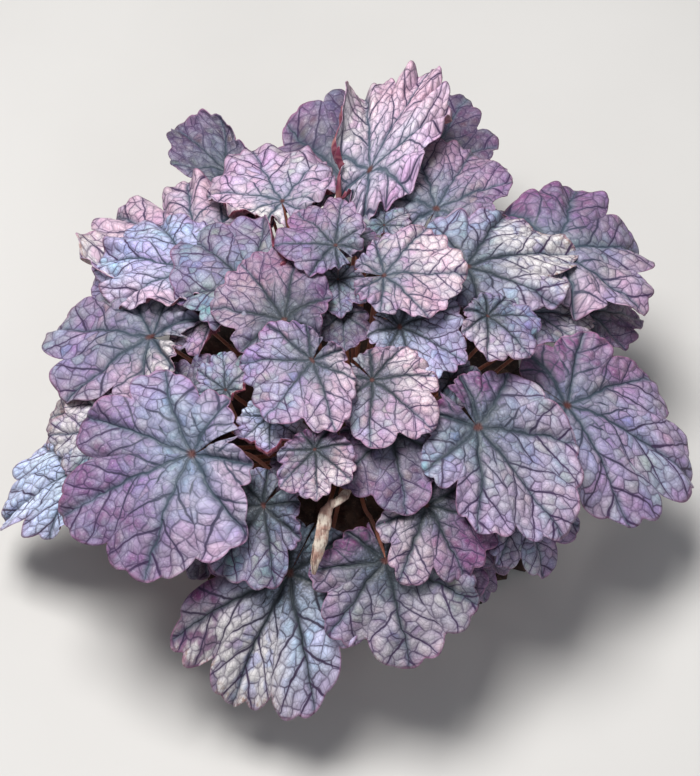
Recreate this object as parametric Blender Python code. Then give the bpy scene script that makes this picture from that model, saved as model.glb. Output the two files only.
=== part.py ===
"""A heuchera plant: a layered mound of lobed leaves on a short woody crown.

The plant rests on the flat cut under its crown and on a mat of dead leaves, at z = 0, with the
crown's axis on Z.
The mound is seen from the -Y side. Sizes are in millimetres and angles in degrees.
"""
import math
from collections import namedtuple

import bmesh
import bpy
import numpy as np
from mathutils import Matrix, Vector
from mathutils.bvhtree import BVHTree

MM = 0.001

# Mound that the blades lie on, in layers, the outermost having the highest number
MOUND_RADIUS = 245.0
MOUND_HEIGHT = 188.0
MOUND_RIM = 222.0
LAYER_GAP = 7.0

# Leaf blade
BLADE_THICKNESS = 0.8
LOBE_ANGLE = 48.0
TOOTH_ANGLE = 16.0
SINUS_ANGLE = 168.0
LOBE_DEPTH = 0.15
TOOTH_DEPTH = 0.05
BACK_RADIUS = 0.42
OUTLINE_POWER = 1.2
MIDDLE_RING = 0.52
WARP = 4.0
WARP_TURNS = 1.5
UNEVEN = 0.05
UNEVEN_TURNS = 2.0
RUFFLE = 0.05
RUFFLE_WAVES = ((0.6, 3.0, 1.0), (0.4, 7.0, 1.7))
FOLD_SOFTNESS = 0.08
PHASE_STEP = 2.4
FINE_STEP = 8.0
PLAIN_STEP = 12.0
RING_STEP = 24.0

# Leaf stalk
STALK_WIDTH = 2.6
STALK_SECTIONS = 5
INNER_ARRIVAL = 85.0
ARRIVAL_DROP = 45.0
ARRIVAL_REACH = 140.0
HUB_HANDLE = 0.30
SEAT_HANDLE = 0.34
SEAT_GAP = 0.3
RAY_START = 20.0

# Woody crown
CROWN_RADIUS = 36.0
CROWN_BASE_RADIUS = 32.0
CROWN_WAIST = 14.0
CROWN_HEIGHT = 48.0
CROWN_SIDES = 30
CROWN_RINGS = 9
SCAR_RELIEF = 0.9
SCARS_AROUND = 5.0
SCAR_SHIFT = 2.1
SEAT_SPACING = 6.4
SEAT_TOP_ANGLE = 5.0
SEAT_LOW_ANGLE = 84.0
SEAT_REACH = 185.0
SEAT_LOWEST = 0.02
SPREAD_ROUNDS = 300
SPREAD_SHARE = 0.5
FAR_APART = 9.0

# Old leaves low under the mound, placed by rule round the whole plant
SKIRT_COUNT = 10
SKIRT_START = 12.0
SKIRT_REACH = (140.0, 146.0)
SKIRT_LAYER = -6.0
SKIRT_LENGTH = (44.0, 40.0)
SKIRT_WIDTH = 0.9
SKIRT_LIFT = -4.0
SKIRT_FOLD = 0.05

# Mat of dead leaves on the ground round the crown: their number, the mat's edges, how much
# each leaf stands out of it, its thickness, how far it arches off the ground and where round it
MAT_LEAVES = 9
MAT_INNER = 33.2
MAT_RADIUS = 147.0
MAT_NOTCH = 0.13
MAT_THICKNESS = 1.6
MAT_ARCH = 9.0
MAT_TURN = 1.1
MAT_COLUMNS = 45
MAT_ROWS = 3

# Withered leaf in the front gap: points chosen along its middle, with its width and depth
WITHERED_PATH = ((-21, -170, 157), (-20, -164, 163), (-18, -157, 168), (-16, -149, 174),
                 (-14, -141, 179), (-11, -137, 182), (-7, -136, 183), (-4, -132, 181),
                 (-2, -126, 175), (0, -118, 165), (0, -107, 150), (-1, -84, 125), (-1, -58, 92))
WITHERED_WIDTH = (1.5, 6.0, 8.5, 9.0, 8.0, 5.0, 5.0, 5.5, 4.5, 3.0, 2.4, 2.4, 2.4, 2.4)
WITHERED_DEPTH = (1.2, 2.2, 3.0, 3.2, 3.0, 2.6, 2.6, 2.6, 2.6, 2.4, 2.4, 2.4, 2.4, 2.4)
WITHERED_PLACE = (-4, -104)
WITHERED_TWIST = 50.0
WITHERED_TWIST_END = 5
WITHERED_SIDES = 6

Leaf = namedtuple("Leaf", "name x y layer heading length width lift roll fold tone fine")

# Place of each leaf's hub over the ground, its layer, the way its midrib points, its length
# from hub to tip, its width, and its tilt and fold against the mound
CHOSEN_LEAVES = (
    Leaf("leaf_01", -123, -19, 1.8, 160, 86, 0.82, 0, 0, 0.04, "mauve", True),
    Leaf("leaf_02", -97, 17, 3.0, 155, 72, 0.72, 0, 0, 0.14, "lilac", True),
    Leaf("leaf_03", -98, 50, 0.3, 144, 84, 0.86, 6, 0, 0.05, "pink", True),
    Leaf("leaf_04", -58, -5, 4.0, 132, 58, 0.95, 0, 0, 0.05, "teal", True),
    Leaf("leaf_05", -39, -34, 4.8, 122, 54, 0.92, 0, 0, 0.05, "mauve", True),
    Leaf("leaf_06", -22, -65, 6.0, -125, 44, 1.12, 0, 0, 0.08, "mauve", True),
    Leaf("leaf_07", 13, -73, 5.0, -44, 42, 1.10, 0, 0, 0.05, "pink", True),
    Leaf("leaf_08", 29, -35, 4.0, -22, 46, 1.05, 0, 0, 0.05, "lilac", True),
    Leaf("leaf_09", 20, -12, 6.5, 4, 49, 0.9, 0, 0, 0.05, "pink", True),
    Leaf("leaf_10", -7, 0, 3.0, -88, 25, 1.1, 0, 0, 0.05, "teal", True),
    Leaf("leaf_11", -9, 12, 5.8, 132, 40, 0.95, 0, 0, 0.05, "mauve", True),
    Leaf("leaf_12", -43, 71, 1.8, 108, 50, 1.2, 5, 0, 0.05, "pink", True),
    Leaf("leaf_13", 12, 90, 3.5, 66, 92, 0.52, 18, 0, 0.16, "pink", True),
    Leaf("leaf_14", -4, 110, -1.0, 80, 76, 0.95, 22, 0, 0.05, "shade", True),
    Leaf("leaf_15", -80, 122, 0.0, 130, 52, 0.80, 28, 0, 0.05, "shade", True),
    Leaf("leaf_16", 54, 71, 1.0, 66, 64, 0.78, 16, 0, 0.05, "mauve", True),
    Leaf("leaf_17", 50, 133, -1.5, 66, 68, 0.85, 26, 0, 0.05, "shade", True),
    Leaf("leaf_18", 71, 17, 3.0, 22, 76, 0.80, 0, 0, 0.05, "teal", True),
    Leaf("leaf_19", 128, 45, 2.0, 26, 84, 0.88, 6, 0, 0.05, "mauve", True),
    Leaf("leaf_20", 81, -32, 6.0, -42, 34, 1.0, 0, 0, 0.05, "lilac", True),
    Leaf("leaf_21", 112, 4, 0.0, 12, 52, 0.7, 0, 0, 0.05, "shade", True),
    Leaf("leaf_22", 150, 20, -1.0, 20, 48, 0.80, 0, 0, 0.05, "shade", False),
    Leaf("leaf_23", 133, -57, 1.0, -14, 90, 0.86, 0, 0, 0.05, "mauve", True),
    Leaf("leaf_24", 75, -92, 4.0, -44, 80, 0.8, 0, 0, 0.05, "lilac", True),
    Leaf("leaf_25", 23, -95, 3.0, -80, 46, 1.10, 0, 0, 0.05, "magenta", True),
    Leaf("leaf_26", -20, -113, 5.0, -88, 32, 1.05, 0, 0, 0.05, "pink", True),
    Leaf("leaf_27", -47, -86, 3.0, -90, 30, 1.05, 0, 0, 0.05, "teal", True),
    Leaf("leaf_28", -74, -64, 2.0, 88, 26, 1.10, 0, 0, 0.12, "teal", True),
    Leaf("leaf_29", -93, -110, 5.0, -157, 92, 0.92, 0, 0, 0.04, "lilac", True),
    Leaf("leaf_30", -161, -81, -0.2, -170, 80, 0.54, 0, 0, 0.12, "teal", True),
    Leaf("leaf_31", -142, -72, 1.0, 174, 54, 0.82, 0, 0, 0.05, "teal", True),
    Leaf("leaf_32", -156, -52, -1.0, 166, 52, 0.70, 0, 0, 0.05, "old", False),
    Leaf("leaf_33", -51, -132, 2.0, -132, 50, 1.05, 0, 0, 0.05, "teal", True),
    Leaf("leaf_34", -36, -160, -0.5, -116, 92, 0.78, 0, 0, 0.12, "teal", True),
    Leaf("leaf_35", 21, -158, 1.0, -76, 64, 1.05, 0, 0, 0.05, "lilac", True),
    Leaf("leaf_36", 45, -132, 2.0, -62, 50, 1.1, 0, 0, 0.05, "magenta", True),
    Leaf("leaf_37", 103, -117, 0.0, -58, 46, 1.0, 0, 0, 0.05, "shade", True),
    Leaf("leaf_38", 53, -145, -1.0, -50, 38, 1.00, 0, 0, 0.05, "shade", False),
    Leaf("leaf_39", -50, 76, -1.0, 112, 30, 0.8, 0, 0, 0.05, "shade", False),
    Leaf("leaf_40", -33, -108, 1.0, -104, 24, 0.9, 0, 0, 0.05, "shade", False),
    Leaf("leaf_41", -83, -10, 0.8, -160, 28, 1.05, 0, 0, 0.05, "pink", True),
    Leaf("leaf_42", 21, 52, 1.0, 88, 22, 1.05, 0, 0, 0.05, "teal", False),
    Leaf("leaf_43", -4, -20, 2.0, -90, 24, 1.00, 0, 0, 0.05, "shade", False),
    Leaf("leaf_44", 60, -57, 1.5, -30, 22, 1.05, 0, 0, 0.05, "teal", False),
    Leaf("leaf_45", -92, -61, 0.5, 128, 32, 1.05, 0, 0, 0.05, "shade", False),
    Leaf("leaf_46", 4, 34, 2.5, -70, 20, 1.00, 0, 0, 0.05, "shade", False),
)

TONES = {
    "mauve": (0.42, 0.30, 0.48),
    "pink": (0.56, 0.38, 0.52),
    "lilac": (0.40, 0.34, 0.54),
    "teal": (0.34, 0.36, 0.46),
    "magenta": (0.48, 0.26, 0.46),
    "shade": (0.16, 0.12, 0.18),
    "old": (0.30, 0.16, 0.14),
}
LEAF_ROUGHNESS = 0.6
BARK_COLOUR = (0.10, 0.055, 0.035)
BARK_ROUGHNESS = 0.85
MAT_COLOUR = (0.07, 0.04, 0.03)
MAT_ROUGHNESS = 0.9
WITHERED_COLOUR = (0.56, 0.42, 0.28)
WITHERED_ROUGHNESS = 0.8


def skirt_leaves():
    """Old leaves under the rim, evenly spaced, by turns a little nearer and farther out."""
    leaves = []
    for k in range(SKIRT_COUNT):
        bearing = SKIRT_START + 360.0 * k / SKIRT_COUNT
        reach = SKIRT_REACH[k % 2]
        leaves.append(Leaf("leaf_%02d" % (len(CHOSEN_LEAVES) + k + 1),
                           reach * math.cos(math.radians(bearing)),
                           reach * math.sin(math.radians(bearing)),
                           SKIRT_LAYER, bearing, SKIRT_LENGTH[k % 2], SKIRT_WIDTH, SKIRT_LIFT,
                           0, SKIRT_FOLD, "shade", False))
    return leaves


def smooth_abs(value, softness):
    return math.sqrt(value * value + softness * softness) - softness


def mound_slope(reach):
    """Angle of the mound's surface at this distance from the axis."""
    q = min(reach, MOUND_RIM) / MOUND_RADIUS
    return math.atan(MOUND_HEIGHT / MOUND_RADIUS * q / math.sqrt(1.0 - q * q))


def mound_height(x, y, layer):
    """Height of one layer of the mound over a point on the ground."""
    reach = math.hypot(x, y)
    slope = mound_slope(reach)
    inside = min(reach, MOUND_RIM)
    height = MOUND_HEIGHT * math.sqrt(1.0 - (inside / MOUND_RADIUS) ** 2)
    return height - (reach - inside) * math.tan(slope) + layer * LAYER_GAP / math.cos(slope)


def leaf_frame(leaf):
    """Hub, midrib, side and upward directions of a blade."""
    slope = mound_slope(math.hypot(leaf.x, leaf.y))
    bearing = math.atan2(leaf.y, leaf.x)
    up = Vector((math.sin(slope) * math.cos(bearing), math.sin(slope) * math.sin(bearing),
                 math.cos(slope)))
    heading = math.radians(leaf.heading)
    ahead = Vector((math.cos(heading), math.sin(heading), 0.0))
    midrib = (ahead - up * ahead.dot(up)).normalized()
    hub = Vector((leaf.x, leaf.y, mound_height(leaf.x, leaf.y, leaf.layer)))
    return hub, midrib, up.cross(midrib), up


def outline_radius(degrees):
    """Distance from hub to edge, as a share of the leaf's length."""
    front = (0.5 + 0.5 * math.cos(math.radians(degrees))) ** OUTLINE_POWER
    body = BACK_RADIUS + (1.0 - BACK_RADIUS) * front
    lobes = 1.0 - LOBE_DEPTH * (1.0 - abs(math.cos(math.pi * degrees / LOBE_ANGLE)))
    teeth = 1.0 - TOOTH_DEPTH * (1.0 - abs(math.cos(math.pi * degrees / TOOTH_ANGLE)))
    return body * lobes * teeth


def blade_point(leaf, number, frame, degrees, t, side=0.0):
    """Point of the blade's middle surface at an angle from the midrib, t of the way out."""
    hub, midrib, across, up = frame
    phase = PHASE_STEP * number
    turn = math.radians(degrees)
    angle = turn + math.radians(WARP) * math.sin(WARP_TURNS * turn + phase)
    distance = outline_radius(degrees) * leaf.length * t
    distance *= 1.0 + UNEVEN * math.sin(UNEVEN_TURNS * turn + phase)
    u = distance * math.cos(angle)
    v = distance * math.sin(angle) * leaf.width + side * (1.0 - t)
    flat = hub + midrib * u + across * v
    drop = mound_height(flat.x, flat.y, leaf.layer) - flat.z
    rise = math.tan(math.radians(leaf.lift)) * u + math.tan(math.radians(leaf.roll)) * v
    rise += leaf.fold * smooth_abs(v, FOLD_SOFTNESS * leaf.length)
    for share, turns, shift in RUFFLE_WAVES:
        rise += RUFFLE * share * leaf.length * t * t * math.sin(turns * turn + shift * phase)
    return flat + Vector((0.0, 0.0, drop)) + up * rise


def crown_radius(z):
    """Outline of the crown: a short barrel under a dome."""
    if z < CROWN_WAIST:
        swell = math.sin(0.5 * math.pi * z / CROWN_WAIST)
        return CROWN_BASE_RADIUS + (CROWN_RADIUS - CROWN_BASE_RADIUS) * swell
    share = (z - CROWN_WAIST) / (CROWN_HEIGHT - CROWN_WAIST)
    return CROWN_RADIUS * math.sqrt(max(0.0, 1.0 - share * share))


def spread_seats(places):
    """Direction of each stalk's seat on the crown's dome, pushed apart until they clear."""
    seats = []
    for x, y in places:
        bearing = math.atan2(y, x)
        share = min(1.0, math.hypot(x, y) / SEAT_REACH)
        polar = math.radians(SEAT_TOP_ANGLE + (SEAT_LOW_ANGLE - SEAT_TOP_ANGLE) * share)
        seats.append((math.sin(polar) * math.cos(bearing), math.sin(polar) * math.sin(bearing),
                      math.cos(polar)))
    seats = np.array(seats)
    spacing = SEAT_SPACING / CROWN_RADIUS
    apart_from_self = np.eye(len(seats)) * FAR_APART
    for _ in range(SPREAD_ROUNDS):
        gaps = seats[:, None, :] - seats[None, :, :]
        distance = np.linalg.norm(gaps, axis=2) + apart_from_self
        push = np.clip(spacing - distance, 0.0, None) * SPREAD_SHARE
        seats += (gaps / distance[:, :, None] * push[:, :, None]).sum(axis=1)
        seats[:, 2] = np.clip(seats[:, 2], SEAT_LOWEST, None)
        seats /= np.linalg.norm(seats, axis=1)[:, None]
    return [Vector(seat) for seat in seats]


def crown_place(direction):
    """Point on the smooth dome in a direction from the dome's centre, and its normal."""
    rise = CROWN_HEIGHT - CROWN_WAIST
    point = Vector((direction.x * CROWN_RADIUS, direction.y * CROWN_RADIUS,
                    CROWN_WAIST + direction.z * rise))
    normal = Vector((direction.x / CROWN_RADIUS, direction.y / CROWN_RADIUS, direction.z / rise))
    return point, normal.normalized()


def seat_ring(ring, normal, crown_tree):
    """Move a stalk's end along the crown's normal until it stands just off the bark."""
    shifts = []
    for point in ring + [sum(ring, Vector()) / len(ring)]:
        hit = crown_tree.ray_cast(point + normal * RAY_START, -normal)[0]
        if hit is not None:
            shifts.append((hit - point).dot(normal))
    return [point + normal * (max(shifts) + SEAT_GAP) for point in ring]


def material(name, colour, roughness):
    found = bpy.data.materials.get(name)
    if found:
        return found
    made = bpy.data.materials.new(name)
    made.use_nodes = True
    shader = made.node_tree.nodes["Principled BSDF"]
    shader.inputs["Base Color"].default_value = (*colour, 1.0)
    shader.inputs["Roughness"].default_value = roughness
    shader.inputs["Metallic"].default_value = 0.0
    return made


def make_object(name, bm, finish):
    """One named object from a mesh in millimetres."""
    bmesh.ops.triangulate(bm, faces=[face for face in bm.faces if len(face.verts) > 3])
    bmesh.ops.recalc_face_normals(bm, faces=bm.faces)
    bmesh.ops.scale(bm, vec=(MM, MM, MM), verts=bm.verts)
    mesh = bpy.data.meshes.new(name)
    bm.to_mesh(mesh)
    bm.free()
    mesh.materials.append(finish)
    made = bpy.data.objects.new(name, mesh)
    bpy.context.scene.collection.objects.link(made)
    return made


def skin(bm, rings, endless=False):
    """Join rings of corners into a tube, and close its far end or lead it back to its start."""
    for near, far in zip(rings, rings[1:] + rings[:1] if endless else rings[1:]):
        for k in range(len(near)):
            after = (k + 1) % len(near)
            bm.faces.new((near[k], near[after], far[after]))
            bm.faces.new((near[k], far[after], far[k]))
    if not endless:
        bm.faces.new(rings[-1])


def sweep_directions(line, side, last):
    """Direction along, to the side of and above a line at each of its points after the first."""
    frames = []
    for k in range(1, len(line)):
        ahead = (line[k] - line[k - 1]).normalized()
        if k + 1 < len(line):
            ahead = (ahead + (line[k + 1] - line[k]).normalized()).normalized()
        elif last is not None:
            ahead = last
        side = (side - ahead * side.dot(ahead)).normalized()
        frames.append((ahead, side, side.cross(ahead)))
    return frames


def make_crown():
    """Woody crown with the scars of old stalks, flat where it was cut from its roots."""
    bm = bmesh.new()
    rings = []
    for ring in range(CROWN_RINGS):
        z = CROWN_HEIGHT * math.sin(0.5 * math.pi * ring / CROWN_RINGS)
        points = []
        for side in range(CROWN_SIDES):
            angle = 2.0 * math.pi * side / CROWN_SIDES
            relief = SCAR_RELIEF * math.sin(SCARS_AROUND * angle + SCAR_SHIFT * ring)
            radius = crown_radius(z) + (relief if ring else 0.0)
            points.append(bm.verts.new((radius * math.cos(angle), radius * math.sin(angle), z)))
        rings.append(points)
    bm.faces.new(list(reversed(rings[0])))
    skin(bm, rings)
    top = bmesh.ops.poke(bm, faces=[face for face in bm.faces if len(face.verts) > 4
                                    and face.calc_center_median().z > CROWN_WAIST])
    for vert in top["verts"]:
        vert.co.z = CROWN_HEIGHT
    return make_object("crown", bm, material("crown_bark", BARK_COLOUR, BARK_ROUGHNESS))


def make_blade(bm, leaf, number, frame):
    """Closed blade whose two faces are split alike. Returns the rim corners at its hub."""
    step = FINE_STEP if leaf.fine else PLAIN_STEP
    stride = int(round(RING_STEP / step))
    count = int(round(SINUS_ANGLE / step))
    outline = [step * k for k in range(-count, count + 1)]
    middle = outline[::stride]
    half = 0.5 * STALK_WIDTH
    sheet = [blade_point(leaf, number, frame, 0.0, 0.0, side) for side in (-half, half)]
    for angle in middle:
        side = math.copysign(half, angle) if angle else 0.0
        sheet.append(blade_point(leaf, number, frame, angle, MIDDLE_RING, side))
    for angle in outline:
        sheet.append(blade_point(leaf, number, frame, angle, 1.0))
    offset = frame[3] * (0.5 * BLADE_THICKNESS)
    top = [bm.verts.new(point + offset) for point in sheet]
    bottom = [bm.verts.new(point - offset) for point in sheet]

    ring, edge = 2, 2 + len(middle)
    turn = (stride + 1) // 2
    triangles = [(0, ring + middle.index(0.0), 1)]
    for k in range(len(middle) - 1):
        inner, outer = ring + k, edge + k * stride
        triangles.append((0 if middle[k + 1] <= 0.0 else 1, inner, inner + 1))
        triangles.append((inner, outer + turn, inner + 1))
        for s in range(stride):
            triangles.append((inner if s < turn else inner + 1, outer + s, outer + s + 1))
    for a, b, c in triangles:
        bm.faces.new((top[a], top[b], top[c]))
        bm.faces.new((bottom[c], bottom[b], bottom[a]))
    rim = [0, ring] + list(range(edge, edge + len(outline))) + [ring + len(middle) - 1, 1]
    for a, b in zip(rim, rim[1:]):
        bm.faces.new((top[a], bottom[a], bottom[b]))
        bm.faces.new((top[a], bottom[b], top[b]))
    return [bottom[0], bottom[1], top[1], top[0]]


def stalk_line(leaf, frame, seat, normal):
    """Middle line of a stalk, from its hub in to its seat on the crown."""
    hub, midrib, across, up = frame
    span = (hub - seat).length
    outness = min(1.0, math.hypot(leaf.x, leaf.y) / ARRIVAL_REACH)
    arrival = math.radians(INNER_ARRIVAL - ARRIVAL_DROP * outness)
    near_hub = hub - (midrib * math.cos(arrival) + up * math.sin(arrival)) * span * HUB_HANDLE
    near_seat = seat + normal * span * SEAT_HANDLE
    points = []
    for k in range(STALK_SECTIONS + 1):
        t = k / STALK_SECTIONS
        s = 1.0 - t
        points.append(hub * s ** 3 + near_hub * (3.0 * s * s * t)
                      + near_seat * (3.0 * s * t * t) + seat * t ** 3)
    return points


def make_leaf(leaf, number, direction, crown_tree):
    """One leaf: its blade and its stalk as one body."""
    frame = leaf_frame(leaf)
    bm = bmesh.new()
    rings = [make_blade(bm, leaf, number, frame)]
    seat, normal = crown_place(direction)
    line = stalk_line(leaf, frame, seat, normal)
    half = 0.5 * STALK_WIDTH
    for k, (ahead, side, above) in enumerate(sweep_directions(line, frame[2], -normal), 1):
        corners = [line[k] + side * (half * a) + above * (half * b)
                   for a, b in ((-1, -1), (1, -1), (1, 1), (-1, 1))]
        if k == STALK_SECTIONS:
            corners = seat_ring(corners, normal, crown_tree)
        rings.append([bm.verts.new(point) for point in corners])
    skin(bm, rings)
    return make_object(leaf.name, bm, material("leaf_" + leaf.tone, TONES[leaf.tone],
                                               LEAF_ROUGHNESS))


def make_mat():
    """Mat of dead leaves: a lobed, arched ring lying on the ground round the crown."""
    bm = bmesh.new()
    rings = []
    for column in range(MAT_COLUMNS):
        angle = 2.0 * math.pi * column / MAT_COLUMNS
        notch = 1.0 - abs(math.cos(0.5 * MAT_LEAVES * angle))
        edge = MAT_RADIUS * (1.0 - MAT_NOTCH * notch)
        arch = 0.5 + 0.5 * math.sin(MAT_LEAVES * angle + MAT_TURN)
        section = []
        for row in range(MAT_ROWS + 1):
            t = row / MAT_ROWS
            reach = MAT_INNER + (edge - MAT_INNER) * t
            rise = MAT_ARCH * arch * math.sin(math.pi * t) + MAT_THICKNESS * arch * t
            section.append(Vector((reach * math.cos(angle), reach * math.sin(angle), rise)))
        above = [point + Vector((0.0, 0.0, MAT_THICKNESS)) for point in reversed(section)]
        rings.append([bm.verts.new(point) for point in section + above])
    skin(bm, rings, endless=True)
    return make_object("dead_leaves", bm, material("dead_leaves", MAT_COLOUR, MAT_ROUGHNESS))


def make_withered_leaf(direction, crown_tree):
    """Curled, dried leaf on its own stalk: a flattened and twisted tube."""
    bm = bmesh.new()
    seat, normal = crown_place(direction)
    line = [Vector(point) for point in WITHERED_PATH] + [seat]
    first = (line[1] - line[0]).normalized()
    side = first.cross(Vector((0.0, 0.0, 1.0))).normalized()
    frames = [(first, side, side.cross(first))] + sweep_directions(line, side, -normal)
    rings = []
    for k, (ahead, side, above) in enumerate(frames):
        turn = Matrix.Rotation(math.radians(WITHERED_TWIST) * max(0.0, 1.0 - k / WITHERED_TWIST_END),
                               3, ahead)
        points = []
        for corner in range(WITHERED_SIDES):
            angle = 2.0 * math.pi * corner / WITHERED_SIDES
            offset = side * (0.5 * WITHERED_WIDTH[k] * math.cos(angle))
            offset += above * (0.5 * WITHERED_DEPTH[k] * math.sin(angle))
            points.append(line[k] + turn @ offset)
        if k + 1 == len(line):
            points = seat_ring(points, normal, crown_tree)
        rings.append([bm.verts.new(point) for point in points])
    bm.faces.new(list(reversed(rings[0])))
    skin(bm, rings)
    return make_object("withered_leaf", bm, material("withered", WITHERED_COLOUR,
                                                     WITHERED_ROUGHNESS))


def main():
    for old in list(bpy.data.objects):
        bpy.data.objects.remove(old)
    crown = make_crown()
    crown_tree = BVHTree.FromPolygons([vert.co / MM for vert in crown.data.vertices],
                                      [face.vertices for face in crown.data.polygons])
    leaves = list(CHOSEN_LEAVES) + skirt_leaves()
    seats = spread_seats([(leaf.x, leaf.y) for leaf in leaves] + [WITHERED_PLACE])
    for number, leaf in enumerate(leaves):
        make_leaf(leaf, number, seats[number], crown_tree)
    make_mat()
    make_withered_leaf(seats[-1], crown_tree)


main()
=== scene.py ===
"""Looks of a heuchera plant: fine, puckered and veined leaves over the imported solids.

Sizes in the tables are in millimetres and angles in degrees. Blender's are in metres.
"""
import random
from collections import namedtuple
from math import atan, atan2, ceil, cos, exp, hypot, pi, radians, sin, sqrt, tan

import bmesh
import bpy
import numpy as np
from mathutils import Matrix, Vector, noise


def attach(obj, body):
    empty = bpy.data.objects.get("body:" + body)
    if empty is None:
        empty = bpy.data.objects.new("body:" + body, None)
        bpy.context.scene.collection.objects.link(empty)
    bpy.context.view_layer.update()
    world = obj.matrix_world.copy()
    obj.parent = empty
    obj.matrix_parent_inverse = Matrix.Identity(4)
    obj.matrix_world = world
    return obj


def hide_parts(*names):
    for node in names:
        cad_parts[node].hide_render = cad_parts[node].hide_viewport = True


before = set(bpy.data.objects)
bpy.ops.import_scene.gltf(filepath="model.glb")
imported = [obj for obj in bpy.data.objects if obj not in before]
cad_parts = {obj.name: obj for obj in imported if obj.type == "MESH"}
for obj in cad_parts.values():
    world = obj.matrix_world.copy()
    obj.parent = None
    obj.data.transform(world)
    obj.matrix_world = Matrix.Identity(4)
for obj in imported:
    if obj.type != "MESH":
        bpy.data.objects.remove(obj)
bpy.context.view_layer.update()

MM = 0.001

# The mound that the leaves lie on, in layers, as in the solids
MOUND_RADIUS = 245.0
MOUND_HEIGHT = 188.0
MOUND_RIM = 222.0
LAYER_GAP = 7.0

# Outline and ruffles of a blade, as in the solids
BACK_RADIUS = 0.42
OUTLINE_POWER = 1.2
LOBE_ANGLE = 48.0
TOOTH_ANGLE = 16.0
SINUS_ANGLE = 168.0
LOBE_DEPTH = 0.19
LOBE_ROUND = 0.7
TOOTH_DEPTH = 0.05
TOOTH_ROUND = 0.8
WARP = 4.0
WARP_TURNS = 1.5
UNEVEN = 0.05
UNEVEN_TURNS = 2.0
RUFFLE = 0.05
RUFFLE_WAVES = ((0.6, 3.0, 1.0), (0.4, 7.0, 1.7))
FOLD_SOFTNESS = 0.08
PHASE_STEP = 2.4

# What the fine blades add: uneven lobes and teeth, bulges between the main veins, swells,
# frills of the margin, a limp droop of the outermost edge and rolled edges
LOBE_LENGTHS = (0.90, 1.07)
LOBE_DEPTHS = (0.35, 1.45)
TOOTH_DEPTHS = (0.3, 1.8)
KEEL = 0.065
SWELL = 0.12
SWELL_SCALE = 2.6
FRILL = 0.026
FRILL_WAVES = ((0.6, 15.0, 2.3), (0.4, 26.0, 0.7))
FRILL_START = 0.50
DROOP = 0.03
FUNNEL = 0.05
FUNNEL_REACH = 0.16
PUCKER = 0.010
VEIN_DEPTH = 0.008
CURL_START = 0.60
CURL_LEAST = 0.02
SHAPE_SEED = 31
MOST_SWELL_SEED = 50.0

# Sectors of a blade that a zone or curl reaches, from none to full, as the share of an about-turn
# that remains, and how far out a zone sets in
WIDE_SECTOR = (0.45, 0.95)
NARROW_SECTOR = (0.78, 0.97)
CURL_SECTOR = (0.70, 0.95)
ZONE_START = (0.15, 0.75)
BLEACH_AND_HIGHLIGHT_START = (0.20, 0.60)
BLADE_THICKNESS = 0.45

# Grid of a blade: the length of a row, the columns at the hub, the angle it spreads to each side,
# and the heights past which its rings are halved, on leaves longer than the second number
BLADE_ROW = 2.0
LEAST_ROWS = 8
BASE_COLUMNS = 42
BLADE_SPREAD = 175.0
HALVINGS = ((-0.55, 0.0), (0.0, 24.0), (0.3, 70.0))
SAME_RING = 1e-5
SAME_POINT = 0.02

# Stalks, as in the solids
STALK_WIDTH = 2.6
INNER_ARRIVAL = 85.0
ARRIVAL_DROP = 45.0
ARRIVAL_REACH = 140.0
HUB_HANDLE = 0.30
HUB_DEPTH = 0.9
SEAT_HANDLE = 0.34
STALK_TAPER = (1.15, 0.85)
STALK_STEPS = 20
STALK_ROUNDNESS = 2

# Woody crown, as in the solids
CROWN_RADIUS = 36.0
CROWN_BASE_RADIUS = 32.0
CROWN_WAIST = 14.0
CROWN_HEIGHT = 48.0
SEAT_SPACING = 6.4
SEAT_TOP_ANGLE = 5.0
SEAT_LOW_ANGLE = 84.0
SEAT_REACH = 185.0
SEAT_LOWEST = 0.02
SPREAD_ROUNDS = 300
SPREAD_SHARE = 0.5
FAR_APART = 9.0

# Bark of the crown: its rings and steps, how rough and ridged it is and on what scale, and the
# scales of old stalks
CROWN_RINGS = 26
CROWN_STEPS = 96
BARK_START = 0.5
BARK_ROUGHNESS = 1.1
BARK_GRAIN = 0.16
BARK_NOISE = (0.9, 2.1, 4)
BARK_RIDGE = 0.5
RIDGE_TURNS = 0.9
RIDGE_SWAY = 3.0
RIDGE_SCALE = 0.08
SCALE_COUNT = 64
SCALE_SEED = 11
SCALE_GRID = (4, 5)
SCALE_TURN = 2.4
SCALE_TOP = 0.35
SCALE_SPREAD = 1.15
SCALE_LENGTHS = (6.0, 11.0)
SCALE_WIDTH = 3.4
SCALE_TIP = 0.6
SCALE_LIFT = (0.4, 2.6, 0.9)
SCALE_START = 0.2
SCALE_RAGGED = 0.15
SCALE_THICKNESS = 0.5
CLOSE = 0.01

# Old leaves low under the mound, as in the solids
SKIRT_COUNT = 10
SKIRT_START = 12.0
SKIRT_REACH = (140.0, 146.0)
SKIRT_LAYER = -6.0
SKIRT_LENGTH = (44.0, 40.0)
SKIRT_WIDTH = 0.9
SKIRT_LIFT = -4.0
SKIRT_FOLD = 0.05

# Mat of dead leaves on the ground, within the solids' ring: rows of blades by their number,
# first bearing, reach of their hubs, length and height
MAT_ROWS = ((9, 8.0, 44.0, 56.0, 0.6), (11, 20.0, 70.0, 70.0, 2.2), (17, 9.0, 98.0, 50.0, 3.0),
            (11, 4.0, 80.0, 66.0, 4.4))
MAT_WIDTH = 0.95
MAT_ARCH = 6.0
MAT_CRUMPLE = 9.0
MAT_CREASE = 0.045
MAT_NOISE = (0.8, 2.2, 4)
MAT_NOISE_STEP = 40.0
MAT_LOWEST = 0.5
MAT_HIGHEST = 12.0
MAT_GRID = (42, 14)
MAT_SWING = 7.0
MAT_REACHES = (0.95, 1.05)
MAT_LENGTHS = (0.9, 1.05)
MAT_SHAPES = 100

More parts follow.
